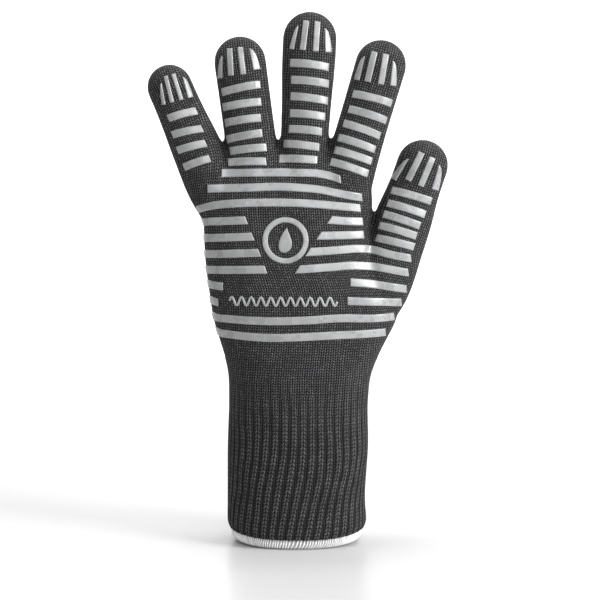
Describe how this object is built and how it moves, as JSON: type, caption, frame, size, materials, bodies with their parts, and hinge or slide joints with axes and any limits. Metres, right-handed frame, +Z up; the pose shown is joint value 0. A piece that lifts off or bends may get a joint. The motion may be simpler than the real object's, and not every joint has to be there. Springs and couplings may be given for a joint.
{
  "type": "heat resistant glove",
  "caption": "Long knitted heat resistant oven and barbecue glove with a cotton liner, a ribbed cuff and silicone grip bars on the palm side.",
  "frame": {"origin": "on the floor under the middle of the glove as it stands upright on its cuff hem", "axes": "+Z up from the hem to the middle fingertip, +X across the palm towards the thumb, -Y is the printed palm side"},
  "size_m": [0.1852, 0.0634, 0.33],
  "materials": {
    "aramid_knit": "charcoal melange knit, matte",
    "cotton_liner": "unbleached cotton knit, matte",
    "hem_thread": "white overlock thread, matte",
    "silicone_print": "light grey silicone, semi-gloss"
  },
  "bodies": {
    "cuff": {"cuff_hem": "hem_thread", "cuff_knit": "aramid_knit", "cuff_liner": "cotton_liner", "wrist_fold": "aramid_knit"},
    "palm": {"palm_knit": "aramid_knit", "palm_liner": "cotton_liner", "little_finger_bar_3": "silicone_print", "little_finger_bar_4": "silicone_print", "little_finger_fold": "aramid_knit", "ring_finger_bar_5": "silicone_print", "ring_finger_bar_6": "silicone_print", "ring_finger_fold": "aramid_knit", "middle_finger_bar_6": "silicone_print", "middle_finger_bar_7": "silicone_print", "middle_finger_fold": "aramid_knit", "index_finger_bar_5": "silicone_print", "index_finger_bar_6": "silicone_print", "index_finger_fold": "aramid_knit", "thumb_bar_4": "silicone_print", "thumb_bar_5": "silicone_print", "thumb_fold": "aramid_knit", "palm_bar_01": "silicone_print", "palm_bar_02": "silicone_print", "palm_bar_03": "silicone_print", "palm_bar_04_left": "silicone_print", "palm_bar_04_right": "silicone_print", "palm_bar_05_left": "silicone_print", "palm_bar_05_right": "silicone_print", "palm_bar_06_left": "silicone_print", "palm_bar_06_right": "silicone_print", "palm_bar_07_left": "silicone_print", "palm_bar_07_right": "silicone_print", "palm_bar_08_left": "silicone_print", "palm_bar_08_right": "silicone_print", "palm_bar_09_left": "silicone_print", "palm_bar_09_right": "silicone_print", "palm_bar_10": "silicone_print", "palm_bar_11": "silicone_print"},
    "little_finger": {"little_finger_knit": "aramid_knit", "little_finger_liner": "cotton_liner", "little_finger_bar_1": "silicone_print"},
    "ring_finger": {"ring_finger_knit": "aramid_knit", "ring_finger_liner": "cotton_liner", "ring_finger_bar_1": "silicone_print", "ring_finger_bar_2": "silicone_print", "ring_finger_bar_3": "silicone_print"},
    "middle_finger": {"middle_finger_knit": "aramid_knit", "middle_finger_liner": "cotton_liner", "middle_finger_bar_1": "silicone_print", "middle_finger_bar_2": "silicone_print", "middle_finger_bar_3": "silicone_print", "middle_finger_bar_4": "silicone_print"},
    "index_finger": {"index_finger_knit": "aramid_knit", "index_finger_liner": "cotton_liner", "index_finger_bar_1": "silicone_print", "index_finger_bar_2": "silicone_print", "index_finger_bar_3": "silicone_print"},
    "thumb": {"thumb_knit": "aramid_knit", "thumb_liner": "cotton_liner", "thumb_bar_1": "silicone_print"}
  },
  "joints": [
    {"name": "wrist_bend", "type": "hinge", "parent": "cuff", "child": "palm", "pos_m": [0, 0, 0.104], "axis": [1, 0, 0], "range_deg": [-40, 40], "stiffness_Nm_per_rad": 0.5, "deforming": ["wrist_fold"]},
    {"name": "little_finger_bend", "type": "hinge", "parent": "palm", "child": "little_finger", "pos_m": [-0.06901, 0, 0.25665], "axis": [0.9171, 0, 0.3987], "range_deg": [-15, 45], "stiffness_Nm_per_rad": 0.05, "deforming": ["little_finger_fold"]},
    {"name": "ring_finger_bend", "type": "hinge", "parent": "palm", "child": "ring_finger", "pos_m": [-0.03123, 0, 0.25541], "axis": [0.9912, 0, 0.1323], "range_deg": [-15, 45], "stiffness_Nm_per_rad": 0.05, "deforming": ["ring_finger_fold"]},
    {"name": "middle_finger_bend", "type": "hinge", "parent": "palm", "child": "middle_finger", "pos_m": [0.00315, 0, 0.2566], "axis": [0.9986, 0, -0.0523], "range_deg": [-15, 45], "stiffness_Nm_per_rad": 0.05, "deforming": ["middle_finger_fold"]},
    {"name": "index_finger_bend", "type": "hinge", "parent": "palm", "child": "index_finger", "pos_m": [0.03625, 0, 0.25037], "axis": [0.9588, 0, -0.284], "range_deg": [-15, 45], "stiffness_Nm_per_rad": 0.05, "deforming": ["index_finger_fold"]},
    {"name": "thumb_bend", "type": "hinge", "parent": "palm", "child": "thumb", "pos_m": [0.06526, 0, 0.20448], "axis": [0.9444, 0, -0.3289], "range_deg": [-15, 45], "stiffness_Nm_per_rad": 0.05, "deforming": ["thumb_fold"]}
  ]
}
